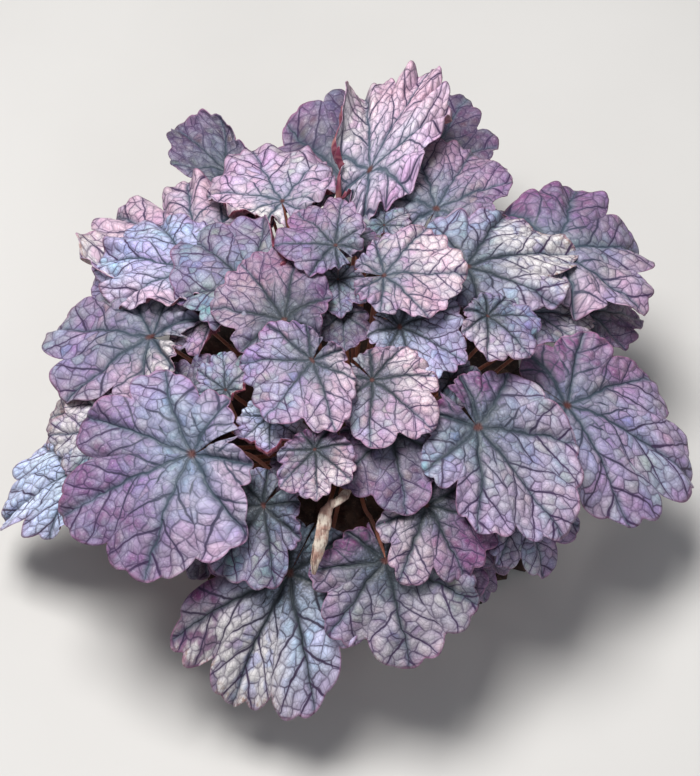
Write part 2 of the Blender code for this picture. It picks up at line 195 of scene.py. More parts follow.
# Withered leaf in the front gap, as in the solids
WITHERED_PATH = ((-21, -170, 157), (-20, -164, 163), (-18, -157, 168), (-16, -149, 174),
                 (-14, -141, 179), (-11, -137, 182), (-7, -136, 183), (-4, -132, 181),
                 (-2, -126, 175), (0, -118, 165), (0, -107, 150), (-1, -84, 125), (-1, -58, 92))
WITHERED_WIDTH = (1.5, 6.0, 8.5, 9.0, 8.0, 5.0, 5.0, 5.5, 4.5, 3.0, 2.4, 2.4, 2.4, 2.4)
WITHERED_DEPTH = (1.2, 2.2, 3.0, 3.2, 3.0, 2.6, 2.6, 2.6, 2.6, 2.4, 2.4, 2.4, 2.4, 2.4)
WITHERED_PLACE = (-4, -104)
WITHERED_TWIST = 50.0
WITHERED_TWIST_END = 5
WITHERED_SCROLL = 9
WITHERED_CURL = 150.0
WITHERED_WRINKLE = 0.22
WITHERED_NOISE = (0.8, 2.1, 4)
WRINKLES_AROUND = 0.9
WRINKLES_ALONG = 1.1
WITHERED_HALF = 0.47
WITHERED_GRID = (28, 110)
WITHERED_STALK = 2.2
WITHERED_STALK_STEPS = 8
WITHERED_HANDLE = 6.0

Leaf = namedtuple("Leaf", "x y layer heading length width tone lift fold", defaults=(0, 0.05))
Look = namedtuple("Look", "frill shine blush_way blush wine_way wine dusk pale_way pale curl_way curl",
                  defaults=(0, 0, 0, 0))
Shape = namedtuple("Shape", "lengths lobes teeth seed")

# Leaves in the order of their numbers: place of the hub over the ground, layer, the way the
# midrib points, length from hub to tip, width, tone, and tilt and fold against the mound, as in
# the solids
CHOSEN_LEAVES = (
    (-123, -19, 1.8, 160, 86, 0.82, "mauve", 0, 0.04),
    (-97, 17, 3, 155, 72, 0.72, "lilac", 0, 0.14),
    (-98, 50, 0.3, 144, 84, 0.86, "pink", 6),
    (-58, -5, 4, 132, 58, 0.95, "teal"),
    (-39, -34, 4.8, 122, 54, 0.92, "mauve"),
    (-22, -65, 6, -125, 44, 1.12, "mauve", 0, 0.08),
    (13, -73, 5, -44, 42, 1.1, "pink"),
    (29, -35, 4, -22, 46, 1.05, "lilac"),
    (20, -12, 6.5, 4, 49, 0.9, "pink"),
    (-7, 0, 3, -88, 25, 1.1, "teal"),
    (-9, 12, 5.8, 132, 40, 0.95, "mauve"),
    (-43, 71, 1.8, 108, 50, 1.2, "pink", 5),
    (12, 90, 3.5, 66, 92, 0.52, "pink", 18, 0.16),
    (-4, 110, -1, 80, 76, 0.95, "shade", 22),
    (-80, 122, 0, 130, 52, 0.8, "shade", 28),
    (54, 71, 1, 66, 64, 0.78, "mauve", 16),
    (50, 133, -1.5, 66, 68, 0.85, "shade", 26),
    (71, 17, 3, 22, 76, 0.8, "teal"),
    (128, 45, 2, 26, 84, 0.88, "mauve", 6),
    (81, -32, 6, -42, 34, 1, "lilac"),
    (112, 4, 0, 12, 52, 0.7, "shade"),
    (150, 20, -1, 20, 48, 0.8, "shade"),
    (133, -57, 1, -14, 90, 0.86, "mauve"),
    (75, -92, 4, -44, 80, 0.8, "lilac"),
    (23, -95, 3, -80, 46, 1.1, "magenta"),
    (-20, -113, 5, -88, 32, 1.05, "pink"),
    (-47, -86, 3, -90, 30, 1.05, "teal"),
    (-74, -64, 2, 88, 26, 1.1, "teal", 0, 0.12),
    (-93, -110, 5, -157, 92, 0.92, "lilac", 0, 0.04),
    (-161, -81, -0.2, -170, 80, 0.54, "teal", 0, 0.12),
    (-142, -72, 1, 174, 54, 0.82, "teal"),
    (-156, -52, -1, 166, 52, 0.7, "old"),
    (-51, -132, 2, -132, 50, 1.05, "teal"),
    (-36, -160, -0.5, -116, 92, 0.78, "teal", 0, 0.12),
    (21, -158, 1, -76, 64, 1.05, "lilac"),
    (45, -132, 2, -62, 50, 1.1, "magenta"),
    (103, -117, 0, -58, 46, 1, "shade"),
    (53, -145, -1, -50, 38, 1, "shade"),
    (-50, 76, -1, 112, 30, 0.8, "shade"),
    (-33, -108, 1, -104, 24, 0.9, "shade"),
    (-83, -10, 0.8, -160, 28, 1.05, "pink"),
    (21, 52, 1, 88, 22, 1.05, "teal"),
    (-4, -20, 2, -90, 24, 1, "shade"),
    (60, -57, 1.5, -30, 22, 1.05, "teal"),
    (-92, -61, 0.5, 128, 32, 1.05, "shade"),
    (4, 34, 2.5, -70, 20, 1, "shade"),
)

# Looks by the leaf's number: how frilled its margin is, how light it is, its own tone together
# with painted light and shade (lighter where it would catch light, darker where other leaves
# shade it), which way on the ground plan, seen from its hub, it turns sun-blushed or wine-red,
# and how much, how dusky its middle is, and which way it is bleached, partly a painted highlight,
# and its edge curls over, and by how much or by what angle
LOOKS = {
    1: (1, 0.74, -80, 0.6, 0, 0, 0.4, -50, 0.9, -25, 35),
    2: (2.4, 1.5, -110, 0.9, 0, 0, 0.1, -70, 0.6, -70, 60),
    3: (2.2, 1.05, 120, 0.8, 0, 0, 0.1, -150, 1, -150, 70),
    4: (1, 0.76, 20, 0.2, 100, 0.3, 0.8, 0, 0.3, 25, 170),
    5: (1.3, 0.28, 130, 0.5, 60, 0.5, 0.9),
    6: (2, 0.86, -30, 0.7, 60, 0.3, 0.7, 0, 0.4, 60, 60),
    7: (1.8, 0.8, 0, 0.9, 0, 0, 0.9, 10, 0.5),
    8: (1.3, 1.5, 180, 0.3, 0, 0.3, 0.8, 90, 0.3),
    9: (1.8, 0.88, 0, 0.9, 180, 0.2, 0.4, 30, 0.5),
    10: (1, 0.6, 0, 0, 0, 0, 0.8),
    11: (1, 0.72, 90, 0.3, 150, 0.5, 0.7),
    12: (3, 1.2, -150, 0.8, 0, 0, 0.1, -120, 1, -135, 80),
    13: (2.4, 1.45, 70, 1, 0, 0, 0.1, 150, 0.8, 185, 150),
    14: (0.8, 0.62, 0, 0, 90, 0.2, 0.4),
    15: (0.8, 0.42, 0, 0, 90, 0.2, 0.5, 0, 0, 60, 110),
    16: (1.2, 0.72, 80, 0.5, 30, 0.5, 0.3, -90, 0.3),
    17: (0.8, 0.42, 0, 0, 60, 0.3, 0.5),
    18: (1.6, 1.1, 0, 0.4, 0, 0, 0.8, 22, 1),
    19: (1, 0.76, -60, 0.6, 110, 0.8, 0.2),
    20: (1.2, 0.68, -100, 0.4, 0, 0, 0.9, -100, 0.3),
    21: (1.2, 1.2, 0, 0.2, 90, 0.3, 0.4, 0, 0.3, 80, 165),
    22: (1, 0.7, 0, 0, 0, 0.6, 0.6),
    23: (1, 1.1, 60, 0.2, 100, 0.9, 0.4),
    24: (1, 0.84, -40, 0.5, 115, 1, 0.7),
    25: (1, 0.36, 0, 0, 180, 0.6, 1),
    26: (3, 0.5, -60, 0.6, 90, 0.9, 1, -60, 0.5, -80, 60),
    27: (2.2, 2.9, 0, 0.5, -110, 0.9, 0.6, 0, 0.5, -95, 135),
    28: (1.6, 0.95, 0, 0.5, 0, 0, 0.7, -30, 0.8, -20, 160),
    29: (0.6, 0.98, -40, 0.4, 200, 0.8, 0.3),
    30: (1.2, 2.6, 150, 0, 0, 0, 0, 10, 1),
    31: (1.2, 1.15, 120, 0.6, 0, 0, 0.2, 170, 0.8),
    32: (1.2, 1, 0, 0.3, 0, 0.3, 0.4, 160, 0.5),
    33: (1.2, 0.7, 0, 0, 0, 0, 1),
    34: (1.1, 1.9, -120, 0.2, 170, 1, 1, -125, 1),
    35: (0.9, 0.42, -100, 0.3, 120, 1, 1, -70, 0.3),
    36: (1.2, 0.54, -130, 0.5, 0, 1, 1, -130, 0.3),
    37: (1.4, 2.2, 0, 0, 0, 0.4, 0.6),
    41: (1.8, 0.95, 0, 0.3, -60, 0.7, 0.6, -60, 0.5, -50, 170),
    42: (1.2, 0.75, 0, 0.3, 0, 0, 0.6, 0, 0.3),
    44: (1.2, 0.7, 0, 0, 0, 0, 0.8),
}
# Look of every leaf not listed, most of them deep under others: dim, with painted shade
HIDDEN_LOOK = (1.2, 0.55, 0, 0, 0, 0.4, 0.8)

# Colour of the panels between the veins, in linear red, green and blue. The dark shade tone is painted
# shade, for leaves deep in the mound where shade falls on them
TONES = {
    "mauve": (0.41, 0.35, 0.53),
    "pink": (0.55, 0.42, 0.55),
    "lilac": (0.36, 0.385, 0.58),
    "teal": (0.32, 0.38, 0.50),
    "magenta": (0.40, 0.28, 0.46),
    "shade": (0.17, 0.16, 0.22),
    "old": (0.30, 0.18, 0.17),
}
PANEL_SILVER = (0.52, 0.53, 0.64, 1.0)
PANEL_TEAL = (0.20, 0.26, 0.33, 1.0)
PANEL_MARGIN = (0.35, 0.20, 0.39, 1.0)
PANEL_BLUSH = (0.78, 0.52, 0.62, 1.0)
PANEL_WINE = (0.20, 0.045, 0.16, 1.0)
# Painted sheen: light specks over the panels
PANEL_PAINTED_SHEEN = (0.80, 0.76, 0.86, 1.0)
# Cream of the bleached zones, partly a painted white highlight; tan at dried rims
PANEL_CREAM_AND_HIGHLIGHT = (0.86, 0.82, 0.81, 1.0)
PANEL_TAN = (0.42, 0.26, 0.17, 1.0)
# Painted shade in the grooves along the veins
VEIN_GROOVE_PAINTED_SHADE = (0.13, 0.11, 0.20, 1.0)
# Halo round the main veins: partly their own dark colour, partly painted shade
VEIN_HALO_AND_SHADE = (0.11, 0.14, 0.20, 1.0)
VEIN_LIGHT = (0.055, 0.080, 0.115, 1.0)
VEIN_INNER = (0.018, 0.026, 0.034, 1.0)
VEIN_OUTER = (0.045, 0.022, 0.070, 1.0)
HUB_DUSK = (0.030, 0.036, 0.042, 1.0)
HUB_RED = (0.085, 0.022, 0.018, 1.0)
RIM_LINE = (0.36, 0.16, 0.27, 1.0)

LINING_DARK = (0.10, 0.012, 0.035, 1.0)
LINING_RED = (0.22, 0.045, 0.085, 1.0)
LINING_NET = (0.34, 0.12, 0.15, 1.0)
LINING_VEIN = (0.42, 0.18, 0.17, 1.0)
STALK_LOW = (0.16, 0.040, 0.022, 1.0)
STALK_HIGH = (0.30, 0.095, 0.070, 1.0)
STALK_STREAK = (0.42, 0.22, 0.13, 1.0)
BARK_DARK = (0.035, 0.018, 0.012, 1.0)
BARK_BROWN = (0.15, 0.085, 0.050, 1.0)
BARK_FLAKE = (0.26, 0.17, 0.10, 1.0)
FLOOR_TONES = ((0.58, 0.57, 0.55, 1.0), (0.62, 0.61, 0.59, 1.0))

# Dried leaves: how far their creases are drawn out, the scale of their stains and creases, their
# two mottled colours and the one of their creases, the steps of both and of their roughness,
# and how deep their bumps are
Dried = namedtuple("Dried", "stretch stains creases colours mottle crease_line roughness depth")
DRIED_NOISE = (4.0, 0.6)
DRIED_BUMP = 0.8
STAIN_BUMP = 0.5
WITHERED_DRIED = Dried((1.0, 0.22, 0.22), 110.0, 900.0,
                       ((0.64, 0.56, 0.47, 1.0), (0.42, 0.25, 0.20, 1.0), (0.17, 0.085, 0.07, 1.0)),
                       (0.38, 0.62), (0.36, 0.52, 0.75, 0.0), (0.3, 0.7, 0.85, 0.65), 0.0008)
# The dead leaves' colours are near-black, darker than dead leaves' own brown: painted shade for the
# gaps deep under the mound
DEAD_DRIED_PAINTED_SHADE = Dried((1.0, 1.0, 1.0), 60.0, 380.0,
                   ((0.030, 0.018, 0.015, 1.0), (0.095, 0.055, 0.038, 1.0),
                    (0.20, 0.125, 0.080, 1.0)),
                   (0.40, 0.66), (0.55, 0.72, 0.0, 0.6), (0.3, 0.7, 0.95, 0.75), 0.0010)

# Scale, detail and roughness of the clouds in the skins
CLOUDS = {
    "leaf cloud": (3.0, 3.0),
    "leaf patch": (7.0, 2.0),
    "leaf speck": (45.0, 3.0, 0.65),
    "lining": (5.0, 3.0),
    "stalk": (900.0, 3.0, 0.6),
    "bark": (160.0, 5.0, 0.65),
    "flake": (45.0, 3.0),
    "floor": (3.0, 4.0),
}

# Strength and depth of the skins' bumps, in metres
BUMPS = {
    "leaf": (0.7, 0.0009),
    "lining": (0.6, 0.0006),
    "stalk": (0.4, 0.0003),
    "bark": (0.9, 0.0015),
}
RELIEF_BUMP = 0.8
FINEST_BUMP = 0.12
SPECK_BUMP = 0.25
MAIN_VEIN_BUMP = 0.4
LEAF_SHEEN = 0.40

# Steps in the skins' patterns: from where to where, and from what share to what
STEPS = {
    "silver": (0.35, 0.75, 0, 0.4),
    "teal": (0.05, 0.6, 0.5, 0),
    "margin": (0.7, 1, 0, 0.55),
    "margin cloud": (0.35, 0.65),
    "blush": (0.3, 0.6, 0.35, 0.85),
    "wine": (0.35, 0.65, 1, 0.6),
    "light speck": (0.52, 0.75, 0, 0.35),
    "tan rim": (0.88, 1),
    "tan speck": (0.4, 0.6),
    "bleach_and_highlight": (0.38, 0.52, 0.15, 0.95),
    "net shade": (0, 0.035, 0.32, 0),
    "side shade": (0, 0.032, 0.6, 0),
    "halo": (0, 0.042, 0.8, 0),
    "dusk": (0.03, 0.6, 1, 0),
    "dusk speck": (0.38, 0.62, 0.45, 0.95),
    "arm": (0, 0.055, 0.85, 0),
    "arm end": (0.3, 0.95, 1, 0),
    "outer thread": (0, 0.85),
    "faint thread": (0.3, 0.7, 0.85, 0.35),
    "finest thread": (0, 0.16, 0.3, 0),
    "net thread": (0.001, 0.0085, 1, 0),
    "side width": (0, 0.32, 0.005, 0.0012),
    "side thread": (0, 0.006, 0.95, 0),
    "main width": (0, 1, 0.0075, 0.001),
    "main thread": (-0.003, 0.005, 0.97, 0),
    "rim line": (0.97, 0.996),
    "rim cloud": (0.35, 0.65, 0.15, 0.6),
    "red hub": (0.012, 0.05, 0.9, 0),
    "leaf roughness": (0.3, 0.7, 0.46, 0.64),
    "finest relief": (0, 0.25),
    "lining": (0.3, 0.7),
    "lining net": (0.002, 0.014, 0.6, 0),
    "lining vein": (0.004, 0.018, 0.8, 0),
    "lining roughness": (0.3, 0.7, 0.42, 0.58),
    "stalk height": (0.03, 0.15),
    "stalk streak": (0.35, 0.7, 0, 0.5),
    "stalk roughness": (0.3, 0.7, 0.45, 0.7),
    "bark": (0.35, 0.65),
    "flake": (0.5, 0.7, 0, 0.7),
    "bark roughness": (0.3, 0.7, 0.95, 0.75),
    "floor": (0.3, 0.7),
    "floor roughness": (0.3, 0.7, 0.75, 0.85),
}
PANEL_CONTRAST = 0.22
CLOUD_CONTRAST = 0.85
CLOUD_SHIFT = 5.7

# Net of veins, in shares of the leaf's length
ROW = 0.084
PANEL = 0.088
CELL_CHANCE = 0.85
ROWS_A_VEIN = 2.0
GRAIN_LENGTH = 90.0
GRAIN_POWER = 0.45
SIDE_LEAN = 46.0
NET_SCALE = 0.08
FINE_NET = 26.0

# Bends of the veins: the scale and detail of their noise, and how far they sway
BENDS = ((2.6, 2.0, 0.10), (12.0, 1.0, 0.035))

# Shifts of the net from side to side, lobe to lobe and leaf to leaf, so that no two match
ROW_SHIFTS = (0.5, 1.3, 3.1)
STEP_SHIFTS = (11.0, 7.0)
SEED_STEP = 0.37

# How far from the hub the seams and side veins set in, and what keeps them away before that
SEAM_START = (0.2, 0.4)
SIDE_START = (0.1, 0.25)
KEPT_AWAY = 0.05

# Grooves of the veins: how wide they are and how much of the puff is left in them
GROOVES = (("net", 0.04, 0.25), ("side", 0.035, 0.25), ("main", 0.05, 0.15))
VALLEY_WIDTH = 0.07
PUCKER_START = (0.03, 0.15)

# Camera: where it looks, how high it stands over the plant, how far and how long its lens is
CAMERA_TARGET = (0.0, 0.0, 0.078)
CAMERA_ELEVATION = 60.0
CAMERA_DISTANCE = 1.4
CAMERA_LENS = 100.0
SENSOR = 36.0

# Studio: each lamp's name, place, size, power and colour, the sky's colour and power, the floor
LAMPS = (("overhead_lamp", (-0.32, 0.10, 1.90), 0.7, 45.0, (1.0, 0.985, 0.97)),
         ("front_lamp", (0.5, -1.3, 1.5), 1.4, 6.0, (0.92, 0.95, 1.0)))
SKY_COLOUR = (0.86, 0.90, 1.0, 1.0)
SKY_POWER = 0.19
FLOOR_SIZE = 6.0


def operator(kind, reflected=False):
    """A method that adds a Math node of one kind, its values in turned order if reflected."""
    def method(self, *others):
        values = (*others, self) if reflected else (self, *others)
        return self.recipe.math(kind, *values)
    return method


class Number:
    """A socket that carries one number. Python's operators on it add Math nodes."""

    def __init__(self, recipe, socket):
        self.recipe = recipe
        self.socket = socket

    __add__ = operator("ADD")
    __radd__ = operator("ADD", True)
    __sub__ = operator("SUBTRACT")
    __rsub__ = operator("SUBTRACT", True)
    __mul__ = operator("MULTIPLY")
    __rmul__ = operator("MULTIPLY", True)
    __truediv__ = operator("DIVIDE")
    __rtruediv__ = operator("DIVIDE", True)
    __pow__ = operator("POWER")
    __rpow__ = operator("POWER", True)
    __abs__ = operator("ABSOLUTE")


class Recipe:
    """Adds nodes to one tree, of a material or of a geometry modifier."""

    def __init__(self, tree):
        self.tree = tree

    def feed(self, socket, value):
        if isinstance(value, Number):
            value = value.socket
        if isinstance(value, bpy.types.NodeSocket):
            self.tree.links.new(value, socket)
        else:
            socket.default_value = value

    def node(self, kind, settings, values):
        """One node: its settings first, then the value or link of each socket named."""
        made = self.tree.nodes.new(kind)
        for name, value in settings.items():
            setattr(made, name, value)
        for name, value in values.items():
            self.feed(made.inputs[name], value)
        return made

    def math(self, operation, *values):
        made = self.node("ShaderNodeMath", {"operation": operation}, dict(enumerate(values)))
        return Number(self, made.outputs[0])

    def ramp(self, value, low, high, start=0.0, end=1.0):
        """A smooth step from start to end as value goes from low to high."""
        made = self.node("ShaderNodeMapRange", {"interpolation_type": "SMOOTHSTEP"},
                         {"Value": value, "From Min": low, "From Max": high,
                          "To Min": start, "To Max": end})
        return Number(self, made.outputs[0])

    def step(self, value, name):
        return self.ramp(value, *STEPS[name])

    def mix(self, share, first, second, blend="MIX"):
        made = self.node("ShaderNodeMix", {"data_type": "RGBA", "blend_type": blend},
                         {0: share, 6: first, 7: second})
        return made.outputs[2]

    def coats(self, base, *layers):
        """Colours laid over a base one after another, each by its share."""
        for share, colour in layers:
            base = self.mix(share, base, colour)
        return base

    def split(self, vector):
        made = self.node("ShaderNodeSeparateXYZ", {}, {"Vector": vector})
        return [Number(self, socket) for socket in made.outputs]

    def join(self, x, y):
        return self.node("ShaderNodeCombineXYZ", {}, {"X": x, "Y": y}).outputs[0]

    def noise(self, place, scale, detail, roughness=0.5):
        """Cloudy noise: its number and its colour."""
        made = self.node("ShaderNodeTexNoise", {},
                         {"Vector": place, "Scale": scale, "Detail": detail,
                          "Roughness": roughness})
        return Number(self, made.outputs[0]), made.outputs[1]

    def cells(self, place, scale, chance):
        """Flat cells: the distance to the nearest edge, and a colour of each cell's own."""
        values = {"Vector": place, "Scale": scale, "Randomness": chance}
        flat = {"voronoi_dimensions": "2D"}
        edges = self.node("ShaderNodeTexVoronoi", {**flat, "feature": "DISTANCE_TO_EDGE"}, values)
        inner = self.node("ShaderNodeTexVoronoi", {**flat, "feature": "F1"}, values)
        return Number(self, edges.outputs["Distance"]), inner.outputs["Color"]


def vein_net(recipe, place, grain):
    """Distances to the veins of a palmate leaf, in shares of its length.

    Main veins run out from the hub, one to each lobe. Side veins leave them slanting, and
    panels lie in rows along the side veins.
    """
    u, v, seed = recipe.split(place)
    for scale, detail, sway in BENDS:
        sway_u, sway_v, _ = recipe.split(recipe.noise(place, scale, detail)[1])
        u = u + (sway_u - 0.5) * sway
        v = v + (sway_v - 0.5) * sway
    lobe_angle = radians(LOBE_ANGLE)
    angle = recipe.math("ARCTAN2", v, u)
    radius = (u * u + v * v) ** 0.5
    lobe = recipe.math("ROUND", angle / lobe_angle)
    off = angle - lobe * lobe_angle
    across = radius * recipe.math("SINE", off)
    side = recipe.math("GREATER_THAN", across, 0.0)
    apart = abs(across)
    out = radius * recipe.math("COSINE", off)
    lean = radians(SIDE_LEAN)
    row = (out * sin(lean) - apart * cos(lean)) / (grain * ROW)
    row = row + side * ROW_SHIFTS[0] + lobe * ROW_SHIFTS[1] + seed * ROW_SHIFTS[2]
    step = (out * cos(lean) + apart * sin(lean)) / (grain * PANEL)
    panels = recipe.join(row, step + side * STEP_SHIFTS[0] + lobe * STEP_SHIFTS[1])
    edge, shade = recipe.cells(panels, 1.0, CELL_CHANCE)
    seam = radius * recipe.math("SINE", lobe_angle / 2.0 - abs(off))
    seam = seam + recipe.ramp(radius, *SEAM_START, KEPT_AWAY, 0.0)
    slant = abs(recipe.math("FRACT", row / ROWS_A_VEIN) - 0.5) * (ROWS_A_VEIN * ROW) * grain
    return {
        "main": apart,
        "side": slant + recipe.ramp(radius, *SIDE_START, KEPT_AWAY, 0.0),
        "net": recipe.math("MINIMUM", edge * NET_SCALE, seam),
        "panel": shade,
        "radius": radius,
        "flat": recipe.join(u, v),
        "seed": seed,
    }


def relief_of(recipe, net):
    """Height of the blade's skin: panels puffed up between sunken veins, from 0 to 1."""
    panels, sides, mains = [recipe.ramp(net[vein], 0.0, width, left, 1.0)
                            for vein, width, left in GROOVES]
    return panels * sides * mains


def pucker_tree():
    """Geometry modifier that raises the panels and sinks the veins of a blade."""
    tree = bpy.data.node_groups.new("pucker", "GeometryNodeTree")
    tree.interface.new_socket("Geometry", in_out="INPUT", socket_type="NodeSocketGeometry")
    height = tree.interface.new_socket("Height", in_out="INPUT", socket_type="NodeSocketFloat")
    tree.interface.new_socket("Geometry", in_out="OUTPUT", socket_type="NodeSocketGeometry")
    recipe = Recipe(tree)
    given = recipe.node("NodeGroupInput", {}, {})
    place = recipe.node("GeometryNodeInputNamedAttribute", {"data_type": "FLOAT_VECTOR"},
                        {"Name": "place"}).outputs["Attribute"]
    grain = recipe.node("GeometryNodeInputNamedAttribute", {"data_type": "FLOAT"},
                        {"Name": "grain"}).outputs["Attribute"]
    net = vein_net(recipe, place, Number(recipe, grain))
    rise = relief_of(recipe, net) * PUCKER
    rise = rise - recipe.ramp(net["main"], 0.0, VALLEY_WIDTH, 1.0, 0.0) * VEIN_DEPTH
    rise = rise * recipe.ramp(net["radius"], *PUCKER_START)
    rise = rise * Number(recipe, given.outputs["Height"])
    normal = recipe.node("GeometryNodeInputNormal", {}, {}).outputs[0]
    offset = recipe.node("ShaderNodeVectorMath", {"operation": "SCALE"},
                         {"Vector": normal, "Scale": rise}).outputs["Vector"]
    moved = recipe.node("GeometryNodeSetPosition", {},
                        {"Geometry": given.outputs["Geometry"], "Offset": offset})
    recipe.node("NodeGroupOutput", {}, {"Geometry": moved.outputs["Geometry"]})
    return tree, height.identifier


def new_material(name):
    """A new material, the recipe of its nodes and its Principled shader."""
    made = bpy.data.materials.new(name)
    made.use_nodes = True
    shader = made.node_tree.nodes["Principled BSDF"]
    return made, Recipe(made.node_tree), shader


def own(recipe, attribute, output="Vector"):
    """What a piece's own attribute holds."""
    return recipe.node("ShaderNodeAttribute", {"attribute_name": attribute}, {}).outputs[output]


def object_place(recipe):
    return recipe.node("ShaderNodeTexCoord", {}, {}).outputs["Object"]


def feed_skin(recipe, shader, colour, roughness, height, bump):
    """Colour, roughness and bumps of a skin, led to its shader."""
    strength, depth = bump
    recipe.feed(shader.inputs["Base Color"], colour)
    recipe.feed(shader.inputs["Roughness"], roughness)
    bumps = recipe.node("ShaderNodeBump", {},
                        {"Strength": strength, "Distance": depth, "Height": height})
    recipe.feed(shader.inputs["Normal"], bumps.outputs["Normal"])


def blade_skin():
    """Upper side of a leaf: silvery panels, slate veins, and blushed, wine and bleached zones, with
    painted light and shade: highlights in the bleached zones, shade in the vein grooves and round the
    main veins, and sheen specks.
    """
    made, recipe, shader = new_material("leaf_upper_side")
    net = vein_net(recipe, own(recipe, "place"), Number(recipe, own(recipe, "grain", "Fac")))
    blush, wine, dusk = recipe.split(own(recipe, "zones"))
    rim = Number(recipe, own(recipe, "rim", "Fac"))
    pale = Number(recipe, own(recipe, "pale", "Fac"))
    u, v, _ = recipe.split(net["flat"])
    shift = net["seed"] * CLOUD_SHIFT
    shifted = recipe.join(u + shift, v + shift)
    cloud, cloud_colour = recipe.noise(shifted, *CLOUDS["leaf cloud"])
    patch, _ = recipe.noise(shifted, *CLOUDS["leaf patch"])
    speck, _ = recipe.noise(shifted, *CLOUDS["leaf speck"])
    fine, _ = recipe.cells(net["flat"], FINE_NET, 1.0)
    step = recipe.step

    # Panels: each a shade of its own, cooler and darker toward the hub, warmer toward the margin
    panel = recipe.mix(PANEL_CONTRAST, own(recipe, "tint", "Color"), net["panel"], "SOFT_LIGHT")
    panel = recipe.mix(CLOUD_CONTRAST, panel, cloud_colour, "SOFT_LIGHT")
    cream_and_highlight = recipe.mix(step(rim, "tan rim") * step(speck, "tan speck"), PANEL_CREAM_AND_HIGHLIGHT, PANEL_TAN)
    # Painted shade: panels darken toward the net and side veins, the shade of the grooves between
    # puffed panels
    shade = recipe.math("MAXIMUM", step(net["net"], "net shade"), step(net["side"], "side shade"))
    panel = recipe.coats(
        panel,
        (step(patch, "silver"), PANEL_SILVER),
        (step(net["radius"], "teal"), PANEL_TEAL),
        (step(rim, "margin") * step(cloud, "margin cloud"), PANEL_MARGIN),
        (blush * step(cloud, "blush"), PANEL_BLUSH),
        (wine * step(patch, "wine"), PANEL_WINE),
        # Painted sheen specks
        (step(speck, "light speck"), PANEL_PAINTED_SHEEN),
        # Bleached zones: pale leaf, partly painted white highlights on ridges
        (pale * step(patch, "bleach_and_highlight"), cream_and_highlight),
        # Painted shade in the vein grooves
        (shade, VEIN_GROOVE_PAINTED_SHADE))

    # Veins: a dark halo round the main ones, partly their own colour and partly painted shade beside
    # their sunken grooves, and threads that thin out toward the margin
    deep = recipe.mix(dusk, VEIN_LIGHT, VEIN_INNER)
    thread = recipe.mix(step(net["radius"], "outer thread"), deep, VEIN_OUTER)
    from_side = net["side"] - step(net["main"], "side width")
    main = step(net["main"] - step(net["radius"], "main width"), "main thread")
    colour = recipe.coats(
        panel,
        (step(net["main"], "halo"), VEIN_HALO_AND_SHADE),
        (step(net["radius"], "dusk") * dusk * step(speck, "dusk speck"), HUB_DUSK),
        (step(net["main"], "arm") * dusk * step(net["radius"], "arm end"), HUB_DUSK),
        (step(fine, "finest thread"), thread),
        (step(net["net"], "net thread") * step(patch, "faint thread"), thread),
        (step(from_side, "side thread"), thread),
        (main, deep),
        (step(rim, "rim line") * step(cloud, "rim cloud"), RIM_LINE),
        (step(net["radius"], "red hub"), HUB_RED))

    height = relief_of(recipe, net) * RELIEF_BUMP + step(fine, "finest relief") * FINEST_BUMP
    height = height + speck * SPECK_BUMP - main * MAIN_VEIN_BUMP
    feed_skin(recipe, shader, colour, step(speck, "leaf roughness"), height, BUMPS["leaf"])
    shader.inputs["Specular IOR Level"].default_value = LEAF_SHEEN
    return made


def blade_lining():
    """Underside of a leaf: burgundy, with paler raised veins."""
    made, recipe, shader = new_material("leaf_underside")
    net = vein_net(recipe, own(recipe, "place"), Number(recipe, own(recipe, "grain", "Fac")))
    cloud, _ = recipe.noise(net["flat"], *CLOUDS["lining"])
    colour = recipe.coats(LINING_DARK, (recipe.step(cloud, "lining"), LINING_RED),
                          (recipe.step(net["net"], "lining net"), LINING_NET),
                          (recipe.step(net["main"], "lining vein"), LINING_VEIN))
    feed_skin(recipe, shader, colour, recipe.step(cloud, "lining roughness"),
              1.0 - relief_of(recipe, net), BUMPS["lining"])
    return made


def stalk_skin():
    """Stalk: red-brown low down, dull pink higher up, with fine lengthwise streaks."""
    made, recipe, shader = new_material("leaf_stalk")
    place = object_place(recipe)
    height = recipe.split(place)[2]
    streak, _ = recipe.noise(place, *CLOUDS["stalk"])
    colour = recipe.coats(STALK_LOW, (recipe.step(height, "stalk height"), STALK_HIGH),
                          (recipe.step(streak, "stalk streak"), STALK_STREAK))
    feed_skin(recipe, shader, colour, recipe.step(streak, "stalk roughness"), streak, BUMPS["stalk"])
    return made


def bark_skin():
    """Crown: cracked dark brown bark with paler dry flakes."""
    made, recipe, shader = new_material("crown_bark")
    place = object_place(recipe)
    grain, _ = recipe.noise(place, *CLOUDS["bark"])
    patch, _ = recipe.noise(place, *CLOUDS["flake"])
    colour = recipe.coats(BARK_DARK, (recipe.step(grain, "bark"), BARK_BROWN),
                          (recipe.step(patch, "flake"), BARK_FLAKE))
    feed_skin(recipe, shader, colour, recipe.step(grain, "bark roughness"), grain, BUMPS["bark"])
    return made


def dried_skin(name, dried):
    """A dried leaf: two colours mottled with stains, and papery creases of a third."""
    made, recipe, shader = new_material(name)
    place = object_place(recipe)
    along = recipe.node("ShaderNodeMapping", {}, {"Vector": place, "Scale": dried.stretch})
    stain, _ = recipe.noise(place, dried.stains, *DRIED_NOISE)
    crease, _ = recipe.noise(along.outputs["Vector"], dried.creases, *DRIED_NOISE)
    first, second, third = dried.colours
    colour = recipe.coats(first, (recipe.ramp(stain, *dried.mottle), second),
                          (recipe.ramp(crease, *dried.crease_line), third))
    feed_skin(recipe, shader, colour, recipe.ramp(crease, *dried.roughness),
              crease + stain * STAIN_BUMP, (DRIED_BUMP, dried.depth))
    return made


